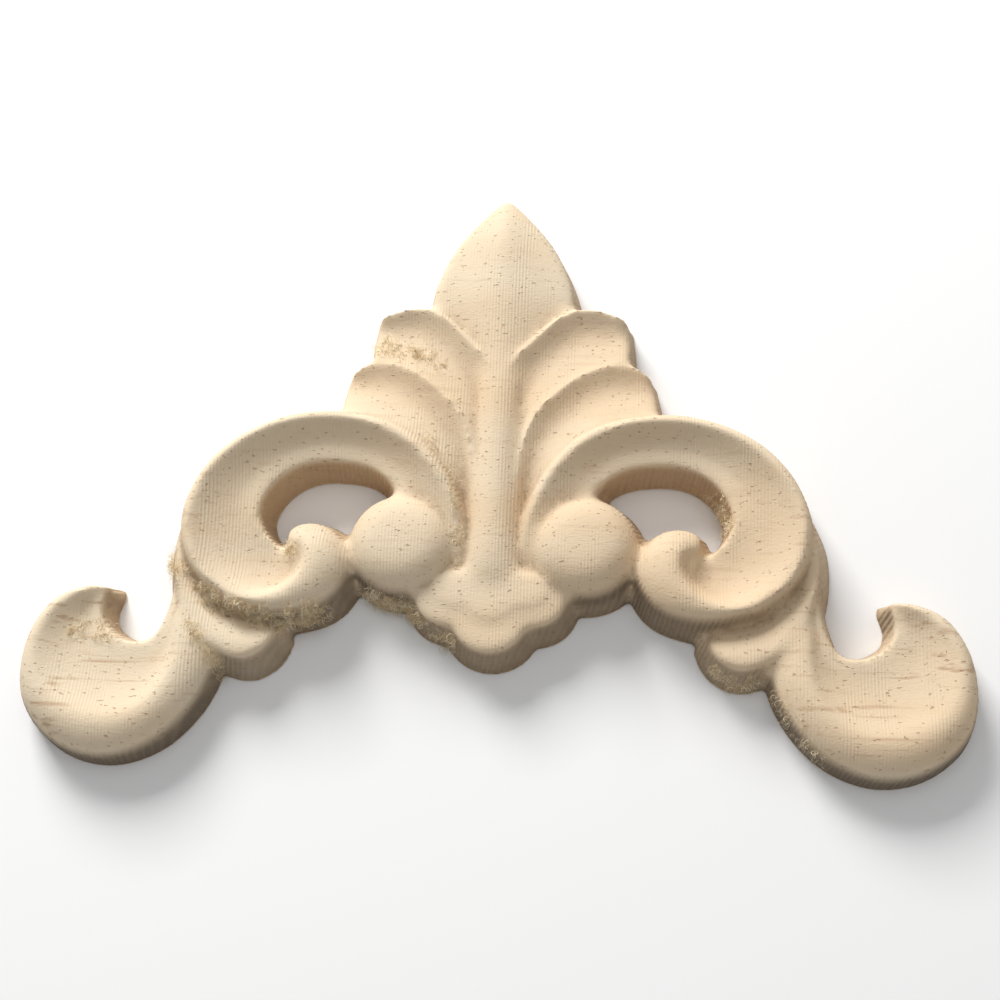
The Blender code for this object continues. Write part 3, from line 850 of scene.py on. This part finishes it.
@dataclass
class Carving:
    """The whole onlay as one fine skin."""

    forms: tuple[object, ...] = (
        MiddleLeaf(), UPPER_LEAF, LOWER_LEAF, Scroll(), Boss((10.3, -7.0), (6.35, 6.05), 8.1, 3.4),
        VOLUTE, Crescent(), END_CURL, Lip(),
    )
    opening: tuple[tuple[float, float], float, float] = ((19.5, -3.0), 10.5, -8.0)
    evening: int = 6
    fillet: int = 20
    soften: float = 0.42
    chatter: float = 0.05
    chatter_pitch: float = 0.62
    tear: float = 0.28
    unevenness: float = 0.03
    back_edge: float = 0.05
    crisp_angle: float = math.radians(50)

    def build(self, material: bpy.types.Material) -> bpy.types.Object:
        """Builds the skin and its stored masks.

        Args:
            material: The wood.

        Returns:
            The finished piece.
        """
        mesh = self.merged()
        points = np.empty(len(mesh.vertices) * 3)
        mesh.vertices.foreach_get("co", points)
        points = points.reshape(-1, 3)
        points = self.filleted(mesh, points)
        normals = self.normals(mesh)
        self.shape(points, normals)
        masks = self.masks(points, normals, mesh)
        mesh.vertices.foreach_set("co", DRAWING.place(points).ravel())
        for name, values in masks.items():
            mesh.attributes.new(name, "FLOAT", "POINT").data.foreach_set("value", values)
        mesh.update()
        piece = bpy.data.objects.new("carved_skin", mesh)
        bpy.context.scene.collection.objects.link(piece)
        mesh.materials.clear()
        mesh.materials.append(material)
        mesh.shade_smooth()
        mesh.set_sharp_from_angle(angle=self.crisp_angle)
        return piece

    def merged(self) -> bpy.types.Mesh:
        """Joins the forms into one closed skin, cut flat at the back."""
        work = bmesh.new()
        for form in self.forms:
            for shell in form.shells():
                verts = [work.verts.new(p) for p in shell.points]
                for face in shell.faces:
                    work.faces.new([verts[k] for k in face])
        bmesh.ops.triangulate(work, faces=work.faces[:])
        bmesh.ops.recalc_face_normals(work, faces=work.faces[:])
        raw = bpy.data.meshes.new("raw_forms")
        work.to_mesh(raw)
        work.free()
        holder = bpy.data.objects.new("raw_forms", raw)
        bpy.context.scene.collection.objects.link(holder)
        remesh = holder.modifiers.new("skin", "REMESH")
        remesh.mode = "VOXEL"
        remesh.voxel_size = DRAWING.fineness
        graph = bpy.context.evaluated_depsgraph_get()
        mesh = bpy.data.meshes.new_from_object(holder.evaluated_get(graph))
        bpy.data.objects.remove(holder, do_unlink=True)
        work = bmesh.new()
        work.from_mesh(mesh)
        geometry = work.verts[:] + work.edges[:] + work.faces[:]
        bmesh.ops.bisect_plane(work, geom=geometry, dist=1e-4, plane_co=(0, 0, 0),
                               plane_no=(0, 0, -1), clear_outer=True)
        rim = [edge for edge in work.edges if edge.is_boundary]
        bmesh.ops.triangle_fill(work, use_beauty=True, use_dissolve=False, edges=rim)
        bmesh.ops.recalc_face_normals(work, faces=work.faces[:])
        mesh.clear_geometry()
        work.to_mesh(mesh)
        work.free()
        mesh.name = "carved_skin"
        return mesh

    def filleted(self, mesh: bpy.types.Mesh, points: np.ndarray) -> np.ndarray:
        """Rounds the creases as a ball cutter leaves them, and the ridges a little.

        Args:
            mesh: The merged skin, moved with the points.
            points: Its points.

        Returns:
            The moved points.
        """
        near = Neighbours(mesh)
        above = points[:, 2] > self.back_edge
        for _ in range(self.evening):
            points = points + (0.5 * above)[:, None] * (near.mean(points) - points)
        mesh.vertices.foreach_set("co", points.ravel())
        mesh.update()
        for _ in range(self.fillet):
            normals = self.normals(mesh)
            bend = np.einsum("ij,ij->i", near.mean(points) - points, normals)
            step = np.where(bend > 0, 0.6 * bend, self.soften * bend) * above
            points = points + normals * step[:, None]
            mesh.vertices.foreach_set("co", points.ravel())
            mesh.update()
        return points

    def normals(self, mesh: bpy.types.Mesh) -> np.ndarray:
        """Reads the vertex normals."""
        found = np.empty(len(mesh.vertices) * 3)
        mesh.vertex_normals.foreach_get("vector", found)
        return found.reshape(-1, 3)

    def shape(self, points: np.ndarray, normals: np.ndarray) -> None:
        """Roughens walls and torn places.

        Args:
            points: Drawing points, changed in place.
            normals: Their normals.
        """
        above = points[:, 2] > self.back_edge
        wall = np.clip(1 - normals[:, 2] * 2.2, 0, 1) * above
        ribs = np.sin((points[:, 0] * 0.83 - points[:, 1] * 0.55) * math.tau
                      / self.chatter_pitch)
        rough = value_noise(points * (1, 1, 0.25), 0.5, 3)
        torn = torn_mask(points) * above
        push = self.chatter * wall * (0.5 * ribs + rough)
        ragged = value_noise(points, 0.45, 5) + 0.5 * value_noise(points, 0.9, 6)
        push += self.tear * torn * ragged
        push += self.unevenness * value_noise(points, 4.0, 9) * above
        points += normals * push[:, None]
        points[:, 2] = np.maximum(points[:, 2], 0.0)

    def masks(self, points: np.ndarray, normals: np.ndarray,
              mesh: bpy.types.Mesh) -> dict[str, np.ndarray]:
        """Measures walls, creases and torn places for the material.

        Args:
            points: Drawing points.
            normals: Their normals.
            mesh: The mesh whose edges are read.

        Returns:
            One array of values from 0 to 1 for each mask.
        """
        near = Neighbours(mesh)
        level = points[:, 2:].copy()
        for _ in range(14):
            level = 0.5 * level + 0.5 * near.mean(level)
        broad = level.copy()
        for _ in range(90):
            broad = near.mean(broad)
        cove = np.clip((broad[:, 0] - points[:, 2]) * 0.75, 0, 1) * (normals[:, 2] > 0.1)
        level = level[:, 0]
        # crease: depth below the smoothed level, which the material darkens as painted shade.
        crease = np.clip((level - points[:, 2]) * 5.0 - 0.06, 0, 1) * (normals[:, 2] > 0.2)
        wall = np.clip((0.55 - normals[:, 2]) * 2.4, 0, 1)
        wall[normals[:, 2] < -0.5] = 0
        # low: walls facing -Y, away from the key light, below the crests; the material paints shade
        # on them.
        facing = np.clip(0.35 - 1.3 * normals[:, 1], 0, 1)
        low = wall * facing * np.clip((7.0 - points[:, 2]) / 2.5, 0, 1)
        low[self.pierced(points)] = 0
        return {"wall": wall, "crease": crease, "cove": cove, "low": low,
                "torn": torn_mask(points)}

    def pierced(self, points: np.ndarray) -> np.ndarray:
        """Tells which points lie in or round the pierced openings."""
        (x, y), reach, lowest = self.opening
        across = np.abs(points[:, 0]) - x
        return (np.hypot(across, points[:, 1] - y) < reach) & (points[:, 1] > lowest)


@dataclass(frozen=True)
class TornFibres:
    """Curled fibres standing on the torn places, scattered by Geometry Nodes."""

    length: float = 0.0009
    thickness: float = 0.00007
    density: float = 6.0e7
    seed: int = 4

    def strand(self) -> bpy.types.Object:
        """Builds one tapered curl."""
        turns, sides = 6, 3
        points, faces = [], []
        for i in range(turns):
            t = i / (turns - 1)
            centre = Vector((0.35 * math.sin(t * 4.2), 0.18 * (1 - math.cos(t * 5.0)), 0.9 * t))
            width = 0.5 * self.thickness / self.length * (1.0 - 0.8 * t)
            for k in range(sides):
                spin = math.tau * k / sides
                points.append(centre + Vector((math.cos(spin), math.sin(spin), 0.0)) * width)
        for i in range(turns - 1):
            for k in range(sides):
                a, b = i * sides + k, i * sides + (k + 1) % sides
                faces.append((a, b, b + sides, a + sides))
        faces.append(tuple(reversed(range(sides))))
        faces.append(tuple((turns - 1) * sides + k for k in range(sides)))
        mesh = bpy.data.meshes.new("strand")
        mesh.from_pydata([p * self.length for p in points], [], faces)
        return bpy.data.objects.new("strand", mesh)

    def tree(self, strand: bpy.types.Object, material: bpy.types.Material) -> bpy.types.NodeTree:
        """Builds the node tree that scatters the strand over the torn mask."""
        tree = bpy.data.node_groups.new("torn_fibres", "GeometryNodeTree")
        socket = tree.interface.new_socket
        socket("Geometry", in_out="INPUT", socket_type="NodeSocketGeometry")
        socket("Density", in_out="INPUT", socket_type="NodeSocketFloat")
        socket("Seed", in_out="INPUT", socket_type="NodeSocketInt")
        socket("Geometry", in_out="OUTPUT", socket_type="NodeSocketGeometry")
        kit = Nodes(tree)
        start, end = kit.add("NodeGroupInput"), kit.add("NodeGroupOutput")
        mask = kit.add("GeometryNodeInputNamedAttribute")
        mask.data_type = "FLOAT"
        mask.inputs["Name"].default_value = "torn"
        amount = kit.math("MULTIPLY", kit.math("POWER", mask.outputs[0], 1.6),
                          start.outputs["Density"])
        scatter = kit.add("GeometryNodeDistributePointsOnFaces")
        tree.links.new(start.outputs["Geometry"], scatter.inputs["Mesh"])
        tree.links.new(amount, scatter.inputs["Density"])
        tree.links.new(start.outputs["Seed"], scatter.inputs["Seed"])
        source = kit.add("GeometryNodeObjectInfo")
        source.inputs["Object"].default_value = strand
        spin = kit.add("FunctionNodeRandomValue")
        spin.data_type = "FLOAT_VECTOR"
        spin.inputs["Min"].default_value = (-0.9, -0.9, 0.0)
        spin.inputs["Max"].default_value = (0.9, 0.9, math.tau)
        size = kit.add("FunctionNodeRandomValue")
        size.data_type = "FLOAT"
        size.inputs[2].default_value = 0.35
        size.inputs[3].default_value = 1.25
        turn = kit.add("FunctionNodeRotateRotation")
        turn.rotation_space = "LOCAL"
        euler = kit.add("FunctionNodeEulerToRotation")
        tree.links.new(spin.outputs[0], euler.inputs[0])
        tree.links.new(scatter.outputs["Rotation"], turn.inputs[0])
        tree.links.new(euler.outputs[0], turn.inputs[1])
        stand = kit.add("GeometryNodeInstanceOnPoints")
        tree.links.new(scatter.outputs["Points"], stand.inputs["Points"])
        tree.links.new(source.outputs["Geometry"], stand.inputs["Instance"])
        tree.links.new(turn.outputs[0], stand.inputs["Rotation"])
        tree.links.new(size.outputs[1], stand.inputs["Scale"])
        real = kit.add("GeometryNodeRealizeInstances")
        tree.links.new(stand.outputs[0], real.inputs[0])
        paint = kit.add("GeometryNodeSetMaterial")
        paint.inputs["Material"].default_value = material
        tree.links.new(real.outputs[0], paint.inputs["Geometry"])
        tree.links.new(paint.outputs[0], end.inputs[0])
        return tree

    def build(self, skin: bpy.types.Object, material: bpy.types.Material) -> bpy.types.Object:
        """Scatters the fibres and makes them a plain mesh.

        Args:
            skin: The carved skin with its torn mask.
            material: The material of the fibres.

        Returns:
            The finished piece.
        """
        strand = self.strand()
        holder = bpy.data.objects.new("fibre_bed", skin.data.copy())
        bpy.context.scene.collection.objects.link(holder)
        scatter = holder.modifiers.new("scatter", "NODES")
        scatter.node_group = self.tree(strand, material)
        named = {item.name: item.identifier for item in scatter.node_group.interface.items_tree
                 if item.in_out == "INPUT"}
        scatter[named["Density"]] = self.density
        scatter[named["Seed"]] = self.seed
        graph = bpy.context.evaluated_depsgraph_get()
        mesh = bpy.data.meshes.new_from_object(holder.evaluated_get(graph))
        bpy.data.objects.remove(holder, do_unlink=True)
        bpy.data.objects.remove(strand, do_unlink=True)
        mesh.name = "torn_fibres"
        points = np.empty(len(mesh.vertices) * 3)
        mesh.vertices.foreach_get("co", points)
        points = points.reshape(-1, 3)
        points[:, 2] = np.maximum(points[:, 2], 0.00005)
        mesh.vertices.foreach_set("co", points.ravel())
        mesh.update()
        piece = bpy.data.objects.new("torn_fibres", mesh)
        bpy.context.scene.collection.objects.link(piece)
        return piece


@dataclass(frozen=True)
class FibreFinish:
    """Dry yellowish torn fibre."""

    pale: Colour = (0.90, 0.79, 0.58, 1.0)
    dark: Colour = (0.74, 0.58, 0.36, 1.0)

    def build(self) -> bpy.types.Material:
        """Builds the material."""
        material = bpy.data.materials.new("torn_fibre")
        material.use_nodes = True
        kit = Nodes(material.node_tree)
        shader = material.node_tree.nodes["Principled BSDF"]
        coords = kit.add("ShaderNodeTexCoord").outputs["Object"]
        tone = kit.ramp(kit.noise(kit.stretch(coords, (900, 900, 900)), 2.0, 0.5), 0.4, 0.65)
        kit.feed(kit.mix(tone, self.pale, self.dark), shader.inputs["Base Color"])
        shader.inputs["Roughness"].default_value = 0.85
        return material


@dataclass(frozen=True)
class Studio:
    """Floor, lights and the camera at the photograph's angle."""

    azimuth: float = 0.2798132
    elevation: float = 1.2566371
    roll: float = -0.249677
    aim_x: float = 0.163
    distance: float = 186.97
    lens: float = 57.6

    def build(self) -> None:
        """Builds the studio."""
        self.floor()
        self.camera()
        self.lamp("key", (-0.20, 0.42, 0.30), 0.24, 3.55, (1.0, 0.99, 0.975))
        self.lamp("top", (0.05, 0.05, 0.60), 0.45, 0.75, (1.0, 1.0, 1.0))
        world = bpy.data.worlds.new("studio")
        world.use_nodes = True
        world.node_tree.nodes["Background"].inputs["Color"].default_value = (1.0, 1.0, 1.0, 1.0)
        world.node_tree.nodes["Background"].inputs["Strength"].default_value = 0.27
        bpy.context.scene.world = world
        bpy.context.scene.view_settings.view_transform = "Standard"

    def floor(self) -> None:
        """Lays the plain pale floor just under the back face."""
        mesh = bpy.data.meshes.new("floor")
        half = 3.0
        mesh.from_pydata([(-half, -half, -0.0002), (half, -half, -0.0002), (half, half, -0.0002),
                          (-half, half, -0.0002)], [], [(0, 1, 2, 3)])
        floor = bpy.data.objects.new("floor", mesh)
        bpy.context.scene.collection.objects.link(floor)
        material = bpy.data.materials.new("pale_floor")
        material.use_nodes = True
        shader = material.node_tree.nodes["Principled BSDF"]
        shader.inputs["Base Color"].default_value = (0.96, 0.965, 0.97, 1.0)
        shader.inputs["Roughness"].default_value = 0.9
        mesh.materials.append(material)

    def camera(self) -> None:
        """Places the camera."""
        a, e, r = self.azimuth, self.elevation, self.roll
        back = Vector((math.sin(a) * math.cos(e), -math.cos(a) * math.cos(e), math.sin(e)))
        right = Vector((math.cos(a), math.sin(a), 0.0))
        up = back.cross(right)
        turned = right * math.cos(r) + up * math.sin(r)
        upright = up * math.cos(r) - right * math.sin(r)
        data = bpy.data.cameras.new("camera")
        data.lens = self.lens
        data.sensor_width = 36.0
        data.clip_start = 0.005
        camera = bpy.data.objects.new("camera", data)
        bpy.context.scene.collection.objects.link(camera)
        aim = Vector(DRAWING.place(np.array([(self.aim_x, 0.0, 0.0)]))[0])
        place = Matrix((turned, upright, back)).transposed().to_4x4()
        place.translation = aim + back * self.distance * DRAWING.unit
        camera.matrix_world = place
        bpy.context.scene.camera = camera

    def lamp(self, name: str, place: tuple[float, float, float], size: float, power: float,
             colour: tuple[float, float, float]) -> None:
        """Hangs one soft square lamp that points at the part."""
        data = bpy.data.lights.new(name, "AREA")
        data.size, data.energy, data.color = size, power, colour
        lamp = bpy.data.objects.new(name, data)
        bpy.context.scene.collection.objects.link(lamp)
        lamp.location = place
        lamp.rotation_euler = (-Vector(place)).to_track_quat("-Z", "Y").to_euler()


def main() -> None:
    """Builds the onlay's looks in order and reports each piece."""
    logging.basicConfig(level=logging.INFO, format="%(message)s")
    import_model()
    wood = BareWood().build(FibreGroup().build(), ToolMarkGroup().build())
    skin = Carving().build(wood)
    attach(skin, "root")
    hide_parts("corner_onlay")
    logger.info("carved skin: %d triangles", sum(len(p.vertices) - 2 for p in skin.data.polygons))
    fibres = TornFibres().build(skin, FibreFinish().build())
    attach(fibres, "root")
    logger.info("torn fibres: %d faces", len(fibres.data.polygons))
    Studio().build()


if __name__ == "__main__":
    main()
